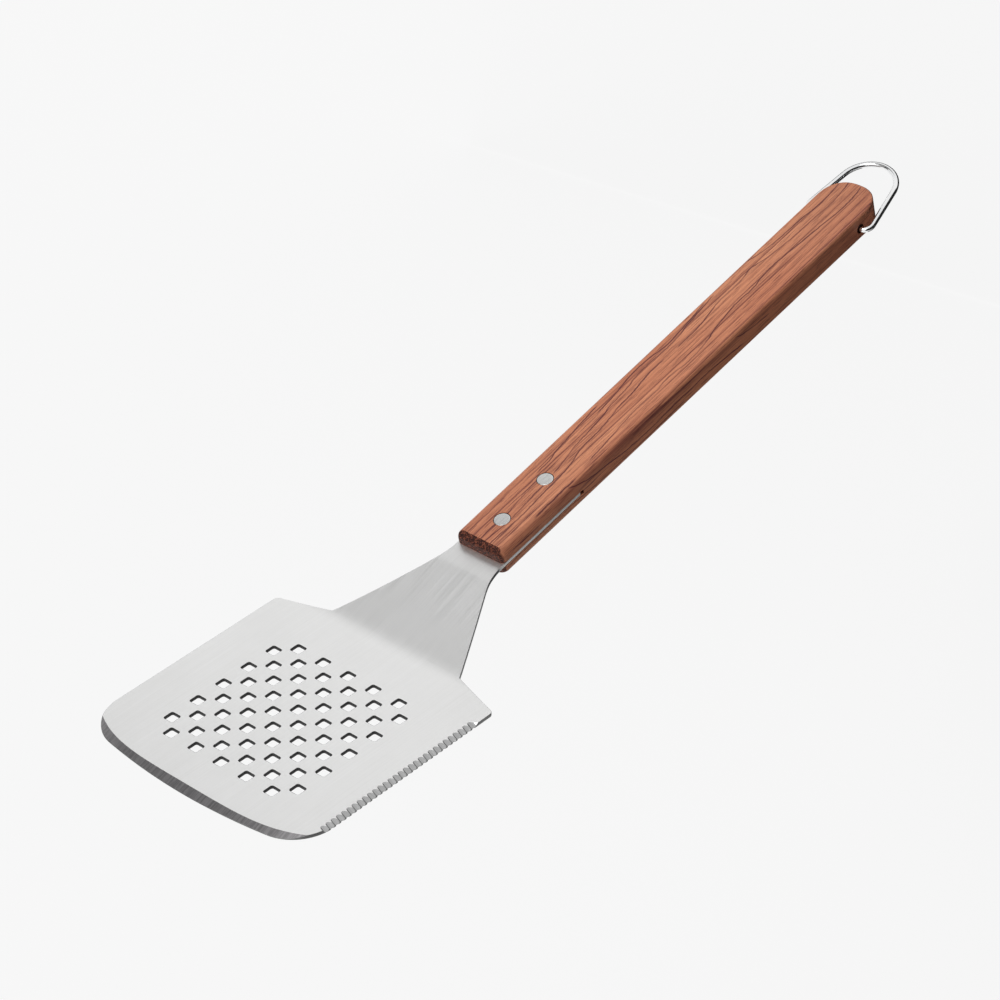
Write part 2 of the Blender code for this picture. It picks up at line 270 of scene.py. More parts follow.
def evened(path, gap):
    """The same path with more points, so that none of its steps is longer than gap."""
    steps = np.linalg.norm(np.diff(path, axis=0), axis=1)
    along = np.concatenate([[0], np.cumsum(steps)])
    extra = [np.linspace(a, b, max(1, math.ceil(s / gap)), endpoint=False)
             for a, b, s in zip(along[:-1], along[1:], steps) if s > 0]
    at = np.concatenate(extra + [along[-1:]])
    return np.stack([np.interp(at, along, path[:, 0]), np.interp(at, along, path[:, 1])], 1)


# %% The side line and its two faces
knee_z = (TANG_TOP - BLADE_Z + KNEE_X * math.sin(TILT)) / math.cos(TILT)
side_line = turn_path([
    (-70 * MM, 0, 0), (HEEL_X, 0, HEEL_R), (WAIST_X, WAIST_Z, WAIST_R), (KNEE_X, knee_z, KNEE_R),
    (KNEE_X + 75 * MM, knee_z + 75 * MM * math.tan(TILT), 0)], 40)
along = np.gradient(side_line, axis=0)
along /= np.linalg.norm(along, axis=1)[:, None]
under_line = side_line + np.stack([along[:, 1], -along[:, 0]], 1) * SHEET

BEVEL_X, BEVEL_SWEEP, BEVEL_END, BEVEL_SLOPE = -51.1 * MM, 8.5 * MM, 56.0 * MM, 0.34
TOOTH_PITCH, TEETH, TOOTH_START = 2.7 * MM, 30, -37.8 * MM
TOOTH_R, TOOTH_DEPTH, TOOTH_RUN = 1.5 * MM, 1.75 * MM, 3.0 * MM
TOOTH_LEAN = math.atan2(TOOTH_DEPTH, TOOTH_RUN)
TOOTH_RISE = TOOTH_R / math.cos(TOOTH_LEAN) - TOOTH_DEPTH
NOTCH_IN = 0.05 * MM                 # from where a groove cuts through the sheet to its notch


def crease_x(y):
    """Where the ground front edge begins: nearly straight in the middle, and swept back towards
    the corners with the fourth power of the distance from the middle."""
    return BEVEL_X + BEVEL_SWEEP * (np.abs(y) / BEVEL_END) ** 4


def groove(x, y):
    """Height of the nearest tooth's groove: a cylinder whose axis climbs away from the edge.
    Past the teeth's reach it is 1, far above the sheet."""
    first = TOOTH_START + TOOTH_PITCH / 2
    number = np.clip(np.round((x - first) / TOOTH_PITCH), 0, TEETH - 1)
    across = np.minimum(np.abs(x - first - number * TOOTH_PITCH), TOOTH_R)
    axis = TOOTH_RISE + (BLADE_HALF + y) * math.tan(TOOTH_LEAN)
    deep = axis - np.sqrt(TOOTH_R ** 2 - across ** 2) / math.cos(TOOTH_LEAN)
    return np.where(y < TOOTH_RUN + MM - BLADE_HALF, deep, 1.0)


def upper(x, y):
    """The upper face: the lowest of the side line, the ground front edge and the grooves. The
    ground edge counts only in the front half, where x is below 0."""
    plane = np.interp(x, side_line[:, 0], side_line[:, 1])
    ground = (x - crease_x(y)) * BEVEL_SLOPE
    return np.minimum(np.minimum(plane, ground + (x > 0)), groove(x, y)) - SKIN


def lower(x):
    """The lower face: the side line moved one thickness down, square to itself."""
    return np.interp(x, under_line[:, 0], under_line[:, 1]) + SKIN


# %% The plan's outline, with a point wherever a line of the surface meets it
def arc_points(cx, cy, radius, a0, a1, steps):
    """Points on a circle from angle a0 to angle a1."""
    angles = np.linspace(a0, a1, steps + 1)
    return np.stack([cx + radius * np.cos(angles), cy + radius * np.sin(angles)], 1)


front_cx = FRONT_X + FRONT_R
corner_y = BLADE_HALF - CORNER_R
corner_x = front_cx - math.sqrt((FRONT_R - CORNER_R) ** 2 - corner_y ** 2)
front_lean = math.atan2(corner_y, front_cx - corner_x)
neck_end = ((TANG_TIP - BLADE_X) * math.cos(TILT) - (TANG_TOP - BLADE_Z) * math.sin(TILT)) - SKIN
meet_x = NOTCH_X + (NOTCH_Y - TANG_HALF) / NECK_TAPER
half_plan = np.concatenate([
    arc_points(front_cx, 0, FRONT_R, math.pi, math.pi - front_lean, 44),
    arc_points(corner_x, corner_y, CORNER_R, math.pi - front_lean, math.pi / 2, 30)[1:],
    turn_path([(0, BLADE_HALF, 0), (BACK_X, BLADE_HALF, 2.2 * MM), (NOTCH_X, NOTCH_Y, 0.9 * MM),
               (meet_x, TANG_HALF, NECK_FILLET), (neck_end, TANG_HALF, 0)], 12)])
half_plan = evened(half_plan, 1.3 * MM)

tooth_turns = np.linspace(-1, 1, 13)[:-1] * math.asin(TOOTH_PITCH / 2 / TOOTH_R)
tooth_x = (TOOTH_START + TOOTH_PITCH * (np.arange(TEETH)[:, None] + 0.5)
           + TOOTH_R * np.sin(tooth_turns)).ravel()
tooth_x = np.append(tooth_x, TOOTH_START + TEETH * TOOTH_PITCH)
tooth_across = np.append(np.tile(TOOTH_R * np.sin(tooth_turns), TEETH), TOOTH_PITCH / 2)
tooth_deep = np.sqrt(TOOTH_R ** 2 - tooth_across ** 2) / math.cos(TOOTH_LEAN) - TOOTH_RISE
tooth_reach = tooth_deep / math.tan(TOOTH_LEAN)
on_corner = np.minimum(tooth_x - corner_x, 0)
notch = tooth_reach - SHEET / math.tan(TOOTH_LEAN) + NOTCH_IN
tooth_edge = np.stack([tooth_x, np.maximum(-corner_y - np.sqrt(CORNER_R ** 2 - on_corner ** 2),
                                           notch - BLADE_HALF)], 1)

near_half = half_plan[::-1] * (1, -1)
toothed = (near_half[:, 1] < -50 * MM) & (near_half[:, 0] > TOOTH_START - 0.2 * MM) & (
    near_half[:, 0] < tooth_x[-1] + 0.2 * MM)
first_toothed, last_toothed = np.flatnonzero(toothed)[[0, -1]]
near_half = np.concatenate([near_half[:first_toothed], tooth_edge[::-1], near_half[last_toothed + 1:]])
outline = np.concatenate([half_plan, near_half[:-1]])[::-1]
print("outline", len(outline), "points,", TEETH, "teeth")


# %% Loops round the outline, the holes and the rivet bores
EDGE = 0.13 * MM                     # radius of the quarter-round along every edge
HOLE_EDGE = 0.22 * MM                # and round the punched holes
HOLE_PITCH, HOLE_SIDE, HOLE_R, HOLE_ROWS = 13.5 * MM, 4.67 * MM, 0.75 * MM, 5
BORE_R = 3.72 * MM


def outward(loop):
    """Unit directions square to a closed loop: to the right of its direction of travel."""
    ahead = np.roll(loop, -1, 0) - np.roll(loop, 1, 0)
    side = np.stack([ahead[:, 1], -ahead[:, 0]], 1)
    return side / np.linalg.norm(side, axis=1)[:, None]


h = HOLE_SIDE / 2
square = np.concatenate([arc_points(sx * (h - HOLE_R), sy * (h - HOLE_R), HOLE_R, a + math.pi / 2, a, 6)
                         for sx, sy, a in ((1, 1, 0), (1, -1, -math.pi / 2), (-1, -1, -math.pi),
                                           (-1, 1, -1.5 * math.pi))])
rows = np.arange(-HOLE_ROWS, HOLE_ROWS + 1)
cells = np.array([(i, j) for i in rows for j in rows if (i + j) % 2]) * HOLE_PITCH / 2
loops = [outline] + [square + cell for cell in cells]
for rivet in RIVETS:
    u = (rivet.x - BLADE_X) * math.cos(TILT) - (TANG_TOP - SHEET / 2 - BLADE_Z) * math.sin(TILT)
    circle = arc_points(0, 0, BORE_R, 2 * math.pi, 0, 48)[:-1] * (1 / math.cos(TILT), 1)
    loops.append(circle + (u, 0))
sides = [outward(loop) for loop in loops]
eases = [EDGE] + [HOLE_EDGE] * (len(loops) - 1)
shoulders = [loop - side * ease for loop, side, ease in zip(loops, sides, eases)]
print(len(cells), "square holes and", len(RIVETS), "bores")

# %% Fixed lines for the triangles
starts = np.cumsum([0] + [len(loop) for loop in loops])
edges = [np.stack([np.arange(a, b), np.roll(np.arange(a, b), -1)], 1) for a, b in zip(starts, starts[1:])]
shoulder = shoulders[0]

scallop = np.stack([tooth_x, tooth_reach - BLADE_HALF], 1)
at_tooth = np.array([np.argmin(np.hypot(*(outline - p).T)) for p in tooth_edge])
scallop_start = starts[-1]
edges += [np.stack([np.arange(len(scallop) - 1), np.arange(1, len(scallop))], 1) + scallop_start,
          np.stack([at_tooth, scallop_start + np.arange(len(scallop))], 1)]

ground = np.flatnonzero((shoulder[:, 0] < crease_x(shoulder[:, 1]) - 0.05 * MM) & (shoulder[:, 0] < 0))
ground = ground[np.argsort(shoulder[ground, 1])]
crease = np.stack([crease_x(shoulder[ground, 1]), shoulder[ground, 1]], 1)
crease_start = scallop_start + len(scallop)
edges += [np.stack([np.arange(len(crease) - 1), np.arange(1, len(crease))], 1) + crease_start,
          np.stack([ground, crease_start + np.arange(len(crease))], 1)]

bend = np.flatnonzero((shoulder[:, 0] > BACK_X + 1.0 * MM) & (shoulder[:, 0] < KNEE_X + 8 * MM)
                      & (shoulder[:, 1] > 0))
mirrored = np.array([np.argmin(np.hypot(*(shoulder - shoulder[i] * (1, -1)).T)) for i in bend])
edges.append(np.stack([bend, mirrored], 1))

flat_points = np.concatenate(shoulders + [scallop, crease])
found = delaunay_2d_cdt([Vector(p) for p in (flat_points / MM).tolist()],
                        [tuple(e) for e in np.concatenate(edges).tolist()], [], 0, 1e-5, True)
plan = np.array([tuple(v) for v in found[0]]) * MM
new_of = np.zeros(len(flat_points), int)
for new, olds in enumerate(found[3]):
    new_of[list(olds)] = new
triangles = np.array(found[2])
added = len(plan) - len(flat_points)
print("plan", len(plan), "points and", len(triangles), "triangles, with", added, "added")


# %% Keep the triangles that lie in the steel
def inside(points, loop):
    """Which points lie inside a closed loop: a line from the point crosses it an odd number of
    times."""
    x, y = points[:, :1], points[:, 1:]
    x0, y0 = loop.T
    x1, y1 = np.roll(loop, -1, 0).T
    across = (y0 > y) != (y1 > y)
    at = x0 + (y - y0) * (x1 - x0) / np.where(y1 == y0, 1, y1 - y0)
    return (across & (x < at)).sum(1) % 2 == 1


loop_of = np.full(len(plan), -1)
for number, (a, b) in enumerate(zip(starts[1:], starts[2:])):
    loop_of[new_of[a:b]] = number
own = loop_of[triangles]
in_hole = (own[:, 0] >= 0) & (own[:, 0] == own[:, 1]) & (own[:, 0] == own[:, 2])
centres = plan[triangles].mean(1)
triangles = triangles[inside(centres, shoulder) & ~in_hole]
centres = plan[triangles].mean(1)
p = plan[triangles]
turned = np.cross(p[:, 1] - p[:, 0], p[:, 2] - p[:, 0]) < 0
triangles[turned] = triangles[turned][:, ::-1]
print(len(triangles), "triangles in the steel")

# %% [markdown]
# ## Lifting the sheet
#
# The plan's points are lifted to the upper and the lower face. Each loop then gets rings that
# carry the surface over the edge: quarter-round, wall, quarter-round.

# %% Rings over the edges
ROUND_STEPS = 3
turns = np.linspace(0, math.pi / 2, ROUND_STEPS + 1)[1:]
count = len(plan)
points = [np.column_stack([plan, upper(*plan.T)]), np.column_stack([plan, lower(plan[:, 0])])]
faces = [triangles, triangles[:, ::-1] + count]
PLAIN, GROUND, TOOTH, SHEARED, PUNCHED, TANG_EDGE = range(6)
is_ground = (centres[:, 0] < crease_x(centres[:, 1])) & (centres[:, 0] < 0)
is_tooth = groove(*centres.T) < -0.01 * MM
finish = [np.select([is_tooth, is_ground], [TOOTH, GROUND], PLAIN), np.full(len(triangles), PLAIN)]
total = 2 * count
for number, (inner, side, ease) in enumerate(zip(shoulders, sides, eases)):
    at = new_of[starts[number]:starts[number + 1]]
    top, bottom = upper(*inner.T), lower(inner[:, 0])
    drop = np.minimum(ease, 0.4 * (top - bottom))
    rings = [at]
    heights = [top - drop * (1 - math.cos(a)) for a in turns]
    heights += [bottom + drop * (1 - math.cos(a)) for a in turns[::-1]]
    for a, height in zip([*turns, *turns[::-1]], heights):
        points.append(np.column_stack([inner + side * ease * math.sin(a), height]))
        rings.append(np.arange(len(at)) + total)
        total += len(at)
    rings.append(at + count)
    for k, (one, two) in enumerate(zip(rings, rings[1:])):
        faces.append(np.stack([one, np.roll(one, -1), np.roll(two, -1), two], 1))
        wall = np.full(len(at), SHEARED if number == 0 else PUNCHED)
        wall[inner[:, 0] > KNEE_X + 8 * MM] = TANG_EDGE
        finish.append(wall)
sheet_points = np.concatenate(points)
lean = np.array(Matrix.Rotation(TILT, 3, "Y"))
sheet_points = sheet_points @ lean.T + (BLADE_X, 0, BLADE_Z)
sheet_faces = [f for group in faces for f in group.tolist()]
sheet_finish = np.concatenate(finish)
print("sheet", len(sheet_points), "points,", len(sheet_faces), "faces")

# %% [markdown]
# ## Steel finishes
#
# The sheet is brushed along its length: fine streaks that change roughness, shade and height a
# little. The front edge is ground across, so its scratches run square to the edge. The teeth are
# ground too. The walls left by the shears and the punch, the ground edge and the teeth get
# darker colours than bare steel has: a painted reflection of the dark surroundings that such
# narrow faces mirror, which this bright room hasn't got. So in other light they look too dark.

# %% Brushed, ground and cut steel
DARKEST, LIGHTEST = 0.84, 1.16       # of a steel's shade, in its streaks


def steel(name, shade, roughness, stretch, streak, bump, cloud=0.05):
    """Metal with streaks. stretch gives how many streaks there are to a metre in each direction,
    streak how far they change the shade and bump how strongly they stand out. cloud is how far
    soft patches change the shade."""
    material, tree, shader = finish_of(name, metallic=1.0)
    fine = noise(tree, grain_place(tree, stretch), 1.0, 3.0, 0.65)
    soft = noise(tree, grain_place(tree, (28, 40, 28)), 1.0, 3.0)
    level = calc(tree, "ADD", spread(tree, fine, 0.25, 0.75, -streak, streak),
                 spread(tree, soft, 0.3, 0.7, -cloud, cloud))
    tone = calc(tree, "ADD", level, 0.5)
    dark = tuple(c * DARKEST for c in shade) + (1.0,)
    light = tuple(min(1.0, c * LIGHTEST) for c in shade) + (1.0,)
    lead(tree, blend(tree, tone, dark, light), shader, "Base Color")
    lead(tree, spread(tree, fine, 0.25, 0.75, roughness - 0.06, roughness + 0.06), shader, "Roughness")
    raise_by(tree, shader, fine, bump, 0.00003)
    return material


brushed = steel("brushed_steel", (0.985, 0.985, 0.97), 0.40, (22, 2600, 22), 0.18, 0.25, 0.08)
# The ground edge, the teeth and the cut walls get dark shades: painted reflection of dark surroundings.
painted_dark_ground_steel = steel("ground_edge_painted_dark", (0.27, 0.262, 0.268), 0.34, (70, 2300, 70), 3.0, 0.8)
painted_dark_tooth_steel = steel("ground_teeth_painted_dark", (0.44, 0.44, 0.44), 0.13, (2600, 60, 60), 0.4, 0.4)
sheared = steel("sheared_wall_painted_dark", (0.20, 0.20, 0.20), 0.42, (1500, 1500, 90), 0.3, 0.6)
punched = steel("punched_wall_painted_dark", (0.06, 0.06, 0.06), 0.50, (1500, 1500, 90), 0.3, 0.6)
tang_edge = steel("tang_edge", (0.62, 0.62, 0.61), 0.36, (1500, 1500, 90), 0.3, 0.6)


# %% Soft shading that keeps the sharp lines
def face_outwards(made):
    """Turns every face of a closed piece outwards."""
    bm = bmesh.new()
    bm.from_mesh(made.data)
    bmesh.ops.recalc_face_normals(bm, faces=bm.faces)
    bm.to_mesh(made.data)
    bm.free()


def soften(made, angle_deg, sharp_pairs=None):
    """Smooth shading, except where faces meet at more than the angle or along the given pairs of
    points. Large faces decide the normals, so flat ones stay flat up to their edges."""
    face_outwards(made)
    made.data.shade_smooth()
    made.data.set_sharp_from_angle(angle=math.radians(angle_deg))
    if sharp_pairs is not None:
        ends = np.zeros(len(made.data.edges) * 2, np.int32)
        made.data.edges.foreach_get("vertices", ends)
        ends = np.sort(ends.reshape(-1, 2), axis=1).astype(np.int64)
        wanted = np.sort(sharp_pairs, axis=1).astype(np.int64)
        size = len(made.data.vertices)
        hit = np.isin(ends[:, 0] * size + ends[:, 1], wanted[:, 0] * size + wanted[:, 1])
        marks = made.data.attributes.get("sharp_edge") or made.data.attributes.new(
            "sharp_edge", "BOOLEAN", "EDGE")
        now = np.zeros(len(ends), bool)
        marks.data.foreach_get("value", now)
        marks.data.foreach_set("value", now | hit)
    weigh = made.modifiers.new("normals", "WEIGHTED_NORMAL")
    weigh.keep_sharp = True
    weigh.weight = 100


blade = piece_from("blade_sheet", sheet_points, sheet_faces,
                   [brushed, painted_dark_ground_steel, painted_dark_tooth_steel, sheared, punched, tang_edge], sheet_finish)
sharp = np.concatenate([np.stack([np.arange(n - 1), np.arange(1, n)], 1) + start
                        for start, n in ((scallop_start, len(scallop)), (crease_start, len(crease)))])
soften(blade, 38, new_of[sharp])
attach(blade, "tool")
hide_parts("blade")

# %% [markdown]
# ## The handle: one piece of hardwood
#
# The handle is a flat bar with a rounded butt. Its upper edges are soft at the front and almost
# square at the butt. Rings of the outline, each a little further in and up, carry the surface
# over the edges, and the saw cuts and bores are taken out of it afterwards, as on the bench.

# %% Sizes of the handle
HANDLE_LOW, HANDLE_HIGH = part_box("handle")
RIVET_X = RIVETS[0].x
HANDLE_T = HANDLE_HIGH.z - HANDLE_LOW.z - 2 * SKIN
HANDLE_FRONT, HANDLE_BUTT = HANDLE_LOW.x + SKIN, HANDLE_HIGH.x - SKIN
HALF_FRONT, HALF_BUTT = 12.5 * MM - SKIN, 12.75 * MM - SKIN
BUTT_LENGTH, BUTT_POWER, FRONT_PLAN_R = 14.5 * MM, 2.4, 2.5 * MM
ROUND_FRONT, ROUND_BUTT, ROUND_UNDER = (3.2 * MM, 4.8 * MM), (0.7 * MM, 0.7 * MM), 2.6 * MM
CHAMFER, SLOT_GAP, SLOT_END, SLOT_R = 2.4 * MM, 0.3 * MM, 34.0 * MM, 0.7 * MM
PAST, CUT_REACH = 5 * MM, 20 * MM    # how far outside the bar cutters start, and where they end
PIVOT_X, PIVOT_Z, PIVOT_HOLE_R = RIVET_X + 217.0 * MM, 6.15 * MM, 2.1 * MM

# %% The handle's outline and its rings
corner = arc_points(HANDLE_FRONT + FRONT_PLAN_R, HALF_FRONT - FRONT_PLAN_R, FRONT_PLAN_R,
                    math.pi, math.pi / 2, 12)
run = np.linspace(0, 1, 61)[1:]
begin, end = HANDLE_FRONT + FRONT_PLAN_R, HANDLE_BUTT - BUTT_LENGTH
long_side = np.stack([begin + (end - begin) * run, HALF_FRONT + (HALF_BUTT - HALF_FRONT) * run], 1)
t = np.linspace(0, math.pi / 2, 41)[1:]
c, s = np.maximum(np.cos(t), 0), np.sin(t)
butt = np.stack([end + BUTT_LENGTH * s ** (2 / BUTT_POWER), HALF_BUTT * c ** (2 / BUTT_POWER)], 1)
butt_side = np.stack([s ** (2 - 2 / BUTT_POWER) / BUTT_LENGTH, c ** (2 - 2 / BUTT_POWER) / HALF_BUTT], 1)
butt_side /= np.linalg.norm(butt_side, axis=1)[:, None]
straight = np.tile([0.0, 1.0], (len(corner) + len(long_side), 1))
half_bar = np.concatenate([corner, long_side, butt])
half_side = np.concatenate([straight, butt_side])
bar = np.concatenate([half_bar, half_bar[::-1][1:] * (1, -1)])
bar_side = np.concatenate([half_side, half_side[::-1][1:] * (1, -1)])


def upper_round(x):
    """How far the upper edge's rounding reaches across and down at x."""
    share = ((x - HANDLE_FRONT) / (HANDLE_BUTT - HANDLE_FRONT))[:, None]
    return np.array(ROUND_FRONT) + (np.array(ROUND_BUTT) - np.array(ROUND_FRONT)) * share


def bar_ring(inset, height):
    """The outline drawn in square to itself by inset and lifted to height."""
    return np.column_stack([bar - bar_side * inset[:, None], height])


quarter = np.linspace(0, math.pi / 2, 13)
reach = upper_round(bar[:, 0])
rings = [bar_ring(reach[:, 0] * (1 - math.sin(a)), HANDLE_T - reach[:, 1] * (1 - math.cos(a)))
         for a in quarter]
ones = np.ones(len(bar))
rings += [bar_ring(ones * ROUND_UNDER * (1 - math.cos(a)), ones * ROUND_UNDER * (1 - math.sin(a)))
          for a in quarter]
rings = np.array(rings) + (0, 0, HANDLE_LOW.z + SKIN)


def skin(rings):
    """Faces of a body through rings of equal count, with a flat face over each end."""
    n, m = rings.shape[:2]
    i, j = np.meshgrid(np.arange(n - 1), np.arange(m), indexing="ij")
    k = (j + 1) % m
    quads = np.stack([i * m + j, (i + 1) * m + j, (i + 1) * m + k, i * m + k], -1).reshape(-1, 4)
    ends = [list(range(m)), list(range((n - 1) * m, n * m))[::-1]]
    return rings.reshape(-1, 3), quads.tolist() + ends


# %% Saw cuts and bores
def bar_cutter(name, profile, axis, low, high):
    """A closed profile carried along one axis: along y the profile is in x and z, along z it is
    in x and y."""
    ends = [np.insert(np.asarray(profile, float), axis, level, axis=1) for level in (low, high)]
    made = piece_from(name, *skin(np.array(ends)))
    face_outwards(made)
    return made


def cut_away(made, cutters):
    """Takes the cutters out of made, in one go, and removes them."""
    for cutter in cutters:
        step = made.modifiers.new(cutter.name, "BOOLEAN")
        step.operation, step.solver, step.object = "DIFFERENCE", "EXACT", cutter
    bpy.context.view_layer.update()
    done = bpy.data.meshes.new_from_object(made.evaluated_get(bpy.context.evaluated_depsgraph_get()))
    made.modifiers.clear()
    made.data = done
    for cutter in cutters:
        bpy.data.objects.remove(cutter, do_unlink=True)
    return made


slot_low, slot_high = TANG_TOP - SHEET - SLOT_GAP, TANG_TOP + SLOT_GAP
slot_x = RIVET_X + SLOT_END
slot = np.concatenate([
    [(HANDLE_FRONT - PAST, slot_low)],
    arc_points(slot_x - SLOT_R, slot_low + SLOT_R, SLOT_R, -math.pi / 2, 0, 5),
    arc_points(slot_x - SLOT_R, slot_high - SLOT_R, SLOT_R, 0, math.pi / 2, 5),
    [(HANDLE_FRONT - PAST, slot_high)]])
lip = [(HANDLE_FRONT - PAST, HANDLE_T - CHAMFER - PAST),
       (HANDLE_FRONT + CHAMFER + PAST, HANDLE_T + PAST), (HANDLE_FRONT - PAST, HANDLE_T + PAST)]
pivot_hole = arc_points(PIVOT_X, PIVOT_Z, PIVOT_HOLE_R, 0, 2 * math.pi, 48)[:-1]
cutters = [bar_cutter(name, profile, 1, -CUT_REACH, CUT_REACH)
           for name, profile in (("slot", slot), ("lip", lip), ("cross_hole", pivot_hole))]
for rivet in RIVETS:
    bore = arc_points(rivet.x, 0, BORE_R - 0.10 * MM, 0, 2 * math.pi, 64)[:-1]
    cutters.append(bar_cutter("bore", bore, 2, -PAST, CUT_REACH))
handle = cut_away(piece_from("handle_wood", *skin(rings)), cutters)
print("handle", len(handle.data.vertices), "points,", len(handle.data.polygons), "faces")

# %% [markdown]
# ## Oiled hardwood
#
# The wood is orange brown with thin purple-brown lines that run along the handle, closer
# together at the front. They are growth rings: sleeves about an axis outside the bar, so the
# same pattern gives long lines on the faces and arcs on the end. The boldest lines are drawn one
# by one, on the top and the near side, and the underside and the far side repeat them. Short
# dark pores lie along the fibres. Where the surface faces forward or back, the fibres are cut
# across and the wood is nearly black. The cross hole is painted the same near-black all round:
# painted shade in the hole, where only the walls that face forward or back are end grain.

# %% The boldest lines of this piece of wood
# Each is a list of places in millimetres: along the handle, and across it or up its side.
TOP_LINES = [
    [(9.5, -8.5), (21.5, -7.6), (32, -6.5), (37.4, -6), (54.1, -6), (58.9, -5.4), (65.5, -5.6),
     (70.2, -6.2), (76.2, -6.3), (85.8, -5.4), (89.9, -4.5), (94.7, -3.3), (105.5, -1.8),
     (109.7, -1.3), (115.6, -1.2), (119.6, -1.5), (123.8, -1.4), (127.9, -0.5), (136.3, 0.2),
     (145.9, -0.2), (157.8, -1.1), (169.8, -1.9), (179.3, -2.8), (183.5, -2.9), (196, -1.6)],
    [(-48.4, -4.8), (-41.8, -5), (-32.3, -5.6), (-18.5, -4.8), (-4.8, -4.2), (4.2, -3), (7.7, -1.8),
     (14.3, -1), (19.7, -1), (32, 0.3), (38, 1.3), (45.1, 1.6), (60.7, 3.3), (67.5, 3.4)],
    [(79.2, 3), (91.7, 3.4), (97.7, 4), (101.9, 4.9), (110.3, 6), (119.6, 5.9), (125.6, 6.2),
     (131.5, 7.4), (135.1, 6.8), (142.3, 5.2), (148.3, 4.7), (157.8, 4), (169.8, 3.7), (180.5, 3.3),
     (190.7, 4), (196, 4.9)],
    [(-48.4, 0.3), (-42.4, 0.45), (-32.9, 0.3), (-23.3, 1.35), (-18.5, 1.5), (-13.8, 1.3)],
    [(-4.2, -0.7), (5.3, 0.75), (11.9, 1.95), (22.1, 2.7), (32, 3.7), (35.6, 4.6), (49.9, 5.65),
     (52.9, 6.4), (63.1, 7), (73.8, 6.7), (84.6, 7.1), (88.8, 8), (97.7, 9.1), (109.1, 10.3)],
    [(32, 6.55), (43.4, 7.6), (57.7, 9.35), (65.5, 9.2), (77.4, 7.9), (85.8, 8.5), (103.7, 10.55)],
    [(-7.8, 5.2), (-0.6, 5.5), (3.6, 6.55), (12.5, 7.4), (22.1, 8.5), (32, 9.4)],
    [(135.7, 11.3), (139.9, 10.25), (147.7, 9.05), (168.6, 8.3), (178.7, 7.4), (193.1, 8.3)],
    [(-48.4, -2.2), (-32.3, -3), (-18.5, -2.05), (-13.8, -1.9)],
    [(-48.4, 7.2), (-27.5, 7.4)],
    [(-26.9, -10.6), (-5.4, -10.5)]]
SIDE_LINES = [
    [(-10, 12.3), (-6.6, 11), (-2.4, 9.85), (5.3, 8.1), (11.3, 7.5), (27.5, 5.4), (42.2, 5.2),
     (57.7, 6), (67.8, 5.8), (75, 6.1), (85.8, 5.4), (97.7, 4.3)],
    [(97.7, 9.7), (103.7, 8.2), (115.6, 6.9)],
    [(-48.4, 3.6), (-20, 4.4), (10, 2.9), (60, 3.2)]]
LINE_HALF = 0.46 * MM
DRAWN_X, DRAWN_Y = (-50 * MM, 216 * MM), (-14 * MM, 14 * MM)


def drawn_line(tree, along, across, places):
    """1 on one line of the grain and 0 away from it. A curve gives how far across the line lies
    at each place along the handle, and the line has soft sides and fades at both ends."""
    node = put(tree, "FloatCurve", {"Value": along})
    curve = node.mapping.curves[0]
    span, wide = DRAWN_X[1] - DRAWN_X[0], DRAWN_Y[1] - DRAWN_Y[0]
    spots = [((x * MM - DRAWN_X[0]) / span, (y * MM - DRAWN_Y[0]) / wide) for x, y in places]
    curve.points[0].location, curve.points[1].location = spots[0], spots[-1]
    for spot in spots[1:-1]:
        curve.points.new(*spot)
    node.mapping.update()
    away = calc(tree, "ABSOLUTE", calc(tree, "SUBTRACT", across, node.outputs[0]))
    mask = spread(tree, away, 0.25 * LINE_HALF / wide, LINE_HALF / wide, 1.0, 0.0)
    ease = 2.5 * MM / span
    mask = calc(tree, "MULTIPLY", mask, spread(tree, along, spots[0][0] - ease, spots[0][0], 0.0, 1.0))
    return calc(tree, "MULTIPLY", mask, spread(tree, along, spots[-1][0], spots[-1][0] + ease, 1.0, 0.0))


def all_lines(tree, along, across, lines):
    """The strongest of several lines."""
    mask = drawn_line(tree, along, across, lines[0])
    for places in lines[1:]:
        mask = calc(tree, "MAXIMUM", mask, drawn_line(tree, along, across, places))
    return mask


# %% Wood
wood, tree, shader = finish_of("oiled_hardwood", roughness=0.5)
shader.inputs["Specular IOR Level"].default_value = 0.16
fibre = noise(tree, grain_place(tree, (18, 2600, 2600)), 1.0, 3.0, 0.6)
streaks = noise(tree, grain_place(tree, (9, 420, 420)), 1.0, 3.0, 0.6)
broad = noise(tree, grain_place(tree, (7, 60, 60)), 1.0, 2.0)
wander = noise(tree, grain_place(tree, (260, 160, 160)), 1.0, 3.0, 0.6)
place = put(tree, "SeparateXYZ", {0: put(tree, "TexCoord").outputs["Object"]})
faced = put(tree, "SeparateXYZ", {0: put(tree, "TexCoord").outputs["Normal"]})
along = spread(tree, place.outputs[0], *DRAWN_X, 0.0, 1.0)
shift = spread(tree, wander, 0.3, 0.7, -0.006, 0.006)
across = calc(tree, "ADD", spread(tree, place.outputs[1], *DRAWN_Y, 0.0, 1.0), shift)
rising = calc(tree, "ADD", spread(tree, place.outputs[2], *DRAWN_Y, 0.0, 1.0), shift)
on_side = spread(tree, calc(tree, "ABSOLUTE", faced.outputs[1]), 0.55, 0.8, 0.0, 1.0)
bold = put(tree, "Mix", {0: on_side, 2: all_lines(tree, along, across, TOP_LINES),
                         3: all_lines(tree, along, rising, SIDE_LINES)}, data_type="FLOAT").outputs[0]
bold = calc(tree, "MULTIPLY", bold, spread(tree, streaks, 0.35, 0.5, 0.6, 1.0))
rings_at = grain_place(tree, (0.05, 1, 1), (0.0, -0.060, 0.022), (0.0, 0.0, 0.03))
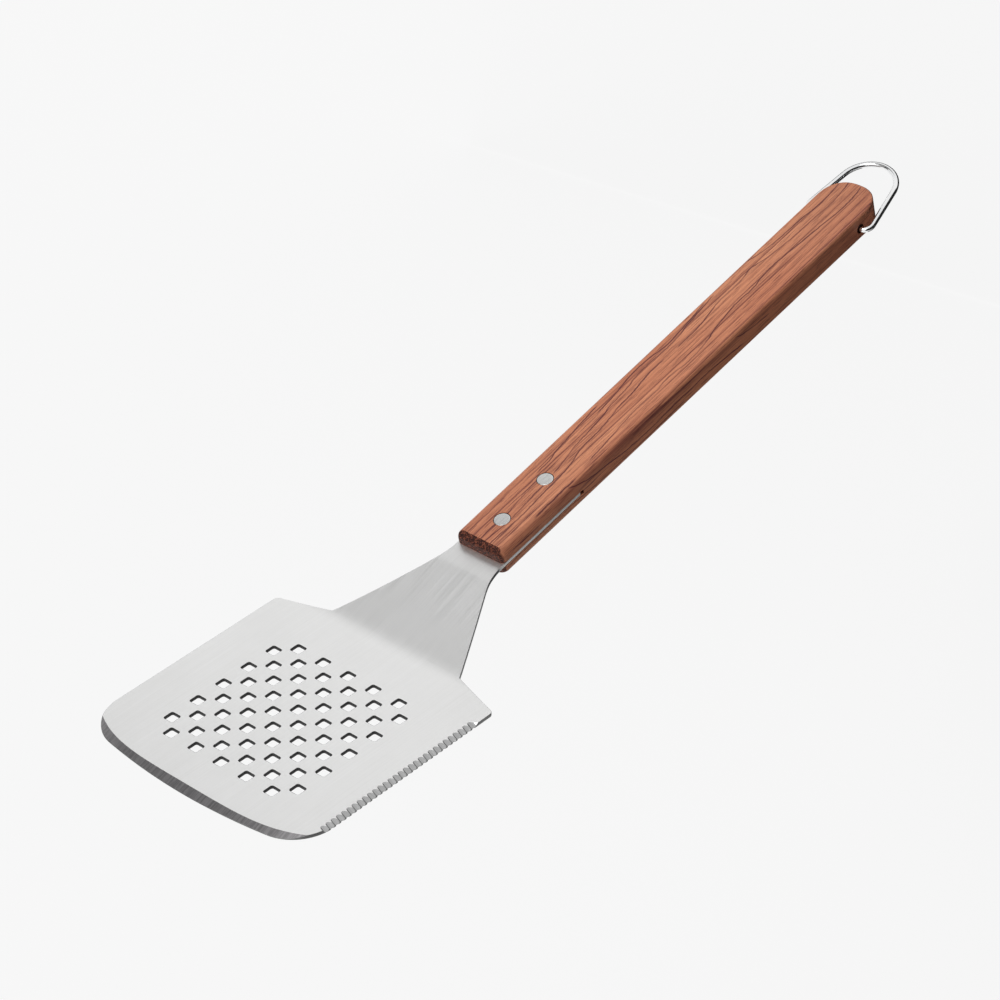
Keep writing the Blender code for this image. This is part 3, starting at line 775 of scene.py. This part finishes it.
rings_of = put(tree, "TexWave", {"Vector": rings_at, "Scale": 95.0, "Distortion": 2.2, "Detail": 3.0,
                                 "Detail Scale": 0.4, "Detail Roughness": 0.45},
               wave_type="RINGS", rings_direction="X", wave_profile="SAW").outputs["Fac"]
pore = noise(tree, grain_place(tree, (110, 3600, 3600)), 1.0, 2.0, 0.5)
pore_mask = spread(tree, pore, 0.56, 0.64, 0.0, 1.0)
strokes = noise(tree, grain_place(tree, (34, 1000, 1000)), 1.0, 2.0, 0.5)
near_front = spread(tree, place.outputs[0], -0.02, 0.06, 1.0, 0.35)
faint = calc(tree, "MULTIPLY", spread(tree, rings_of, 0.78, 0.95, 0.0, 1.0),
             spread(tree, streaks, 0.40, 0.58, 0.0, 0.7))
stroke_mask = calc(tree, "MULTIPLY", spread(tree, strokes, 0.60, 0.68, 0.0, 0.9), near_front)
faint = calc(tree, "MAXIMUM", faint, stroke_mask)
line_mask = calc(tree, "MAXIMUM", bold, faint)
haze = calc(tree, "MULTIPLY", spread(tree, rings_of, 0.45, 0.95, 0.0, 1.0), 0.35)
body = blend(tree, spread(tree, broad, 0.35, 0.65, 0.0, 1.0),
             (0.86, 0.375, 0.205, 1), (0.70, 0.270, 0.145, 1))
body = blend(tree, spread(tree, fibre, 0.3, 0.7, 0.0, 0.50), body, (0.36, 0.118, 0.068, 1))
body = blend(tree, spread(tree, streaks, 0.5, 0.75, 0.0, 0.70), body, (0.28, 0.080, 0.052, 1))
body = blend(tree, haze, body, (0.40, 0.125, 0.075, 1))
from_middle = calc(tree, "ABSOLUTE", calc(tree, "SUBTRACT", place.outputs[0], 0.070))
body = blend(tree, spread(tree, from_middle, 0.05, 0.12, 0.0, 0.28), body, (0.36, 0.135, 0.085, 1))
body = blend(tree, calc(tree, "MULTIPLY", pore_mask, 0.6), body, (0.14, 0.040, 0.035, 1))
body = blend(tree, calc(tree, "MULTIPLY", line_mask, 0.92), body, (0.090, 0.022, 0.032, 1))
cut_across = spread(tree, calc(tree, "ABSOLUTE", faced.outputs[0]), 0.30, 0.66, 0.0, 1.0)
dots = noise(tree, grain_place(tree, (900, 1500, 2300)), 1.0, 3.0, 0.65)
end_and_painted_hole_tone = blend(tree, spread(tree, dots, 0.48, 0.66, 0.0, 1.0),
                 (0.028, 0.008, 0.006, 1), (0.30, 0.090, 0.050, 1))
end_and_painted_hole_tone = blend(tree, calc(tree, "MULTIPLY", faint, 0.8), end_and_painted_hole_tone, (0.02, 0.008, 0.010, 1))
level = put(tree, "CombineXYZ", {"X": place.outputs[0], "Z": place.outputs[2]}).outputs[0]
from_pivot = put(tree, "VectorMath", {0: level, 1: (PIVOT_X, 0.0, PIVOT_Z)},
                 operation="DISTANCE").outputs["Value"]
# Painted shade: the whole wall of the cross hole gets the near-black of end grain.
in_hole = spread(tree, from_pivot, PIVOT_HOLE_R, PIVOT_HOLE_R + 0.2 * MM, 1.0, 0.0)
end_grain_and_painted_hole_shade = calc(tree, "MAXIMUM", cut_across, in_hole)
lead(tree, blend(tree, end_grain_and_painted_hole_shade, body, end_and_painted_hole_tone), shader, "Base Color")
lead(tree, spread(tree, fibre, 0.3, 0.7, 0.40, 0.56), shader, "Roughness")
dips = calc(tree, "ADD", calc(tree, "MULTIPLY", pore_mask, 0.5), calc(tree, "MULTIPLY", line_mask, 0.8))
relief = calc(tree, "SUBTRACT", calc(tree, "MULTIPLY", fibre, 0.4), dips)
raise_by(tree, shader, relief, 0.35, 0.00008)
handle.data.materials.clear()
handle.data.materials.append(wood)
soften(handle, 30)
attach(handle, "tool")
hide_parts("handle")

# %% [markdown]
# ## Rivets and hanging loop
#
# A rivet is a turned pin: a profile carried round its axis. Its ends are ground flush with the
# wood and show faint rings from the grinding wheel. The hanging loop is a round wire carried
# along a bent path, and chromed.

# %% Rivets
def turned(name, centre, profile, steps, materials):
    """A profile of (radius, height) carried once round the upright axis through centre."""
    angles = np.linspace(0, 2 * math.pi, steps, endpoint=False)
    ring = np.stack([np.cos(angles), np.sin(angles)], 1)
    rings = np.array([np.column_stack([ring * r + centre[:2], np.full(steps, z)]) for r, z in profile])
    points, faces = skin(rings)
    made = piece_from(name, points, faces, materials)
    radius = made.data.attributes.new("rim", "FLOAT", "POINT")
    radius.data.foreach_set("value", np.repeat([r for r, _ in profile], steps).astype(np.float32))
    return made


RIVET_R, RIVET_EASE = 3.42 * MM, 0.25 * MM
DOME, SUNK = 0.03 * MM, 0.035 * MM   # the ends' slight crown, and how far in their rims lie
rivet_steel, tree, shader = finish_of("rivet_steel", metallic=1.0)
rim = put(tree, "Attribute", attribute_name="rim").outputs["Fac"]
swirl = noise(tree, grain_place(tree, (300, 300, 300)), 1.0, 2.0)
radius = calc(tree, "ADD", calc(tree, "MULTIPLY", rim, 1500.0), calc(tree, "MULTIPLY", swirl, 1.2))
rings_cut = put(tree, "TexNoise", {"W": radius, "Scale": 3.0, "Detail": 2.0},
                noise_dimensions="1D").outputs["Fac"]
scuff = noise(tree, grain_place(tree, (180, 1600, 180)), 1.0, 3.0)
tone = calc(tree, "ADD", calc(tree, "MULTIPLY", rings_cut, 0.5), calc(tree, "MULTIPLY", scuff, 0.5))
shade = blend(tree, spread(tree, tone, 0.3, 0.7, 0.0, 1.0), (0.55, 0.55, 0.545, 1), (0.86, 0.86, 0.85, 1))
lead(tree, shade, shader, "Base Color")
lead(tree, spread(tree, tone, 0.3, 0.7, 0.48, 0.30), shader, "Roughness")
raise_by(tree, shader, tone, 0.4, 0.00004)

shares = np.linspace(0.2, 1, 7)[:-1]
bow = np.linspace(0, math.pi / 2, 5)
radii = np.concatenate([shares * (RIVET_R - RIVET_EASE), RIVET_R - RIVET_EASE + RIVET_EASE * np.sin(bow)])
height = np.concatenate([DOME * (1 - shares ** 2), -RIVET_EASE * (1 - np.cos(bow))]) - SUNK
for name, at in zip(("rivet_front", "rivet_rear"), RIVETS):
    low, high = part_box(name)
    head = [(r, high.z + z) for r, z in zip(radii, height)]
    foot = [(r, low.z - z) for r, z in zip(radii, height)][::-1]
    pin = turned(name + "_pin", at, head + foot, 96, [rivet_steel])
    soften(pin, 40)
    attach(pin, "tool")
    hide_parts(name)

# %% Path of the wire
WIRE_R = 1.25 * MM - 2 * SKIN
WIRE_EASE = 0.3 * MM
LOOP_LIFT = math.radians(7.0)
LOOP_HALF, LOOP_LENGTH, LOOP_R, ELBOW_R, WIRE_INNER = 17.2 * MM, 21.3 * MM, 13.2 * MM, 3.4 * MM, 5.5 * MM
away = np.array([-LOOP_LENGTH, LOOP_HALF])
touch = math.atan2(away[1], away[0]) - math.acos(LOOP_R / np.linalg.norm(away))
leg = turn_path([(0, WIRE_INNER, 0), (0, LOOP_HALF, ELBOW_R),
                 (LOOP_LENGTH + LOOP_R * math.cos(touch), LOOP_R * math.sin(touch), 0)], 20)
half_wire = evened(np.concatenate([leg, arc_points(LOOP_LENGTH, 0, LOOP_R, touch, 0, 40)[1:]]), 1.0 * MM)
wire_path = np.concatenate([half_wire, half_wire[::-1][1:] * (1, -1)])


# %% A round wire along the path
def wire(name, path, radius, steps, materials):
    """A circle carried along a flat path: at each point it stands square to the path's
    direction, with one axis in the path's plane and one upright. Its ends are eased."""
    ahead = np.gradient(path, axis=0)
    ahead /= np.linalg.norm(ahead, axis=1)[:, None]
    path = np.concatenate([path[:1], path[:1] + ahead[:1] * WIRE_EASE, path[1:-1],
                           path[-1:] - ahead[-1:] * WIRE_EASE, path[-1:]])
    ahead = np.concatenate([ahead[:1], ahead, ahead[-1:]])
    side = np.stack([ahead[:, 1], -ahead[:, 0]], 1)
    angles = np.linspace(0, 2 * math.pi, steps, endpoint=False)
    size = np.full(len(path), radius)
    size[[0, -1]] -= WIRE_EASE
    flat = path[:, None] + side[:, None] * (np.cos(angles)[None, :, None] * size[:, None, None])
    rings = np.concatenate([flat, (np.sin(angles)[None] * size[:, None])[..., None]], 2)
    turn = np.array(Matrix.Rotation(-LOOP_LIFT, 3, "Y"))
    rings = rings @ turn.T + (PIVOT_X, 0, PIVOT_Z)
    return piece_from(name, *skin(rings), materials)


chrome, tree, shader = finish_of("chromed_wire", metallic=1.0)
drawn = noise(tree, grain_place(tree, (500, 500, 500)), 1.0, 3.0)
haze = noise(tree, grain_place(tree, (60, 60, 60)), 1.0, 2.0)
bright = blend(tree, spread(tree, haze, 0.35, 0.65, 0.0, 1.0), (0.84, 0.85, 0.86, 1), (0.95, 0.95, 0.95, 1))
lead(tree, bright, shader, "Base Color")
lead(tree, spread(tree, drawn, 0.3, 0.7, 0.05, 0.14), shader, "Roughness")
raise_by(tree, shader, drawn, 0.08, 0.00003)
loop = wire("loop_wire", wire_path, WIRE_R, 32, [chrome])
soften(loop, 40)
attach(loop, "loop")
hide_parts("hanging_loop")
print("wire", len(wire_path), "steps")
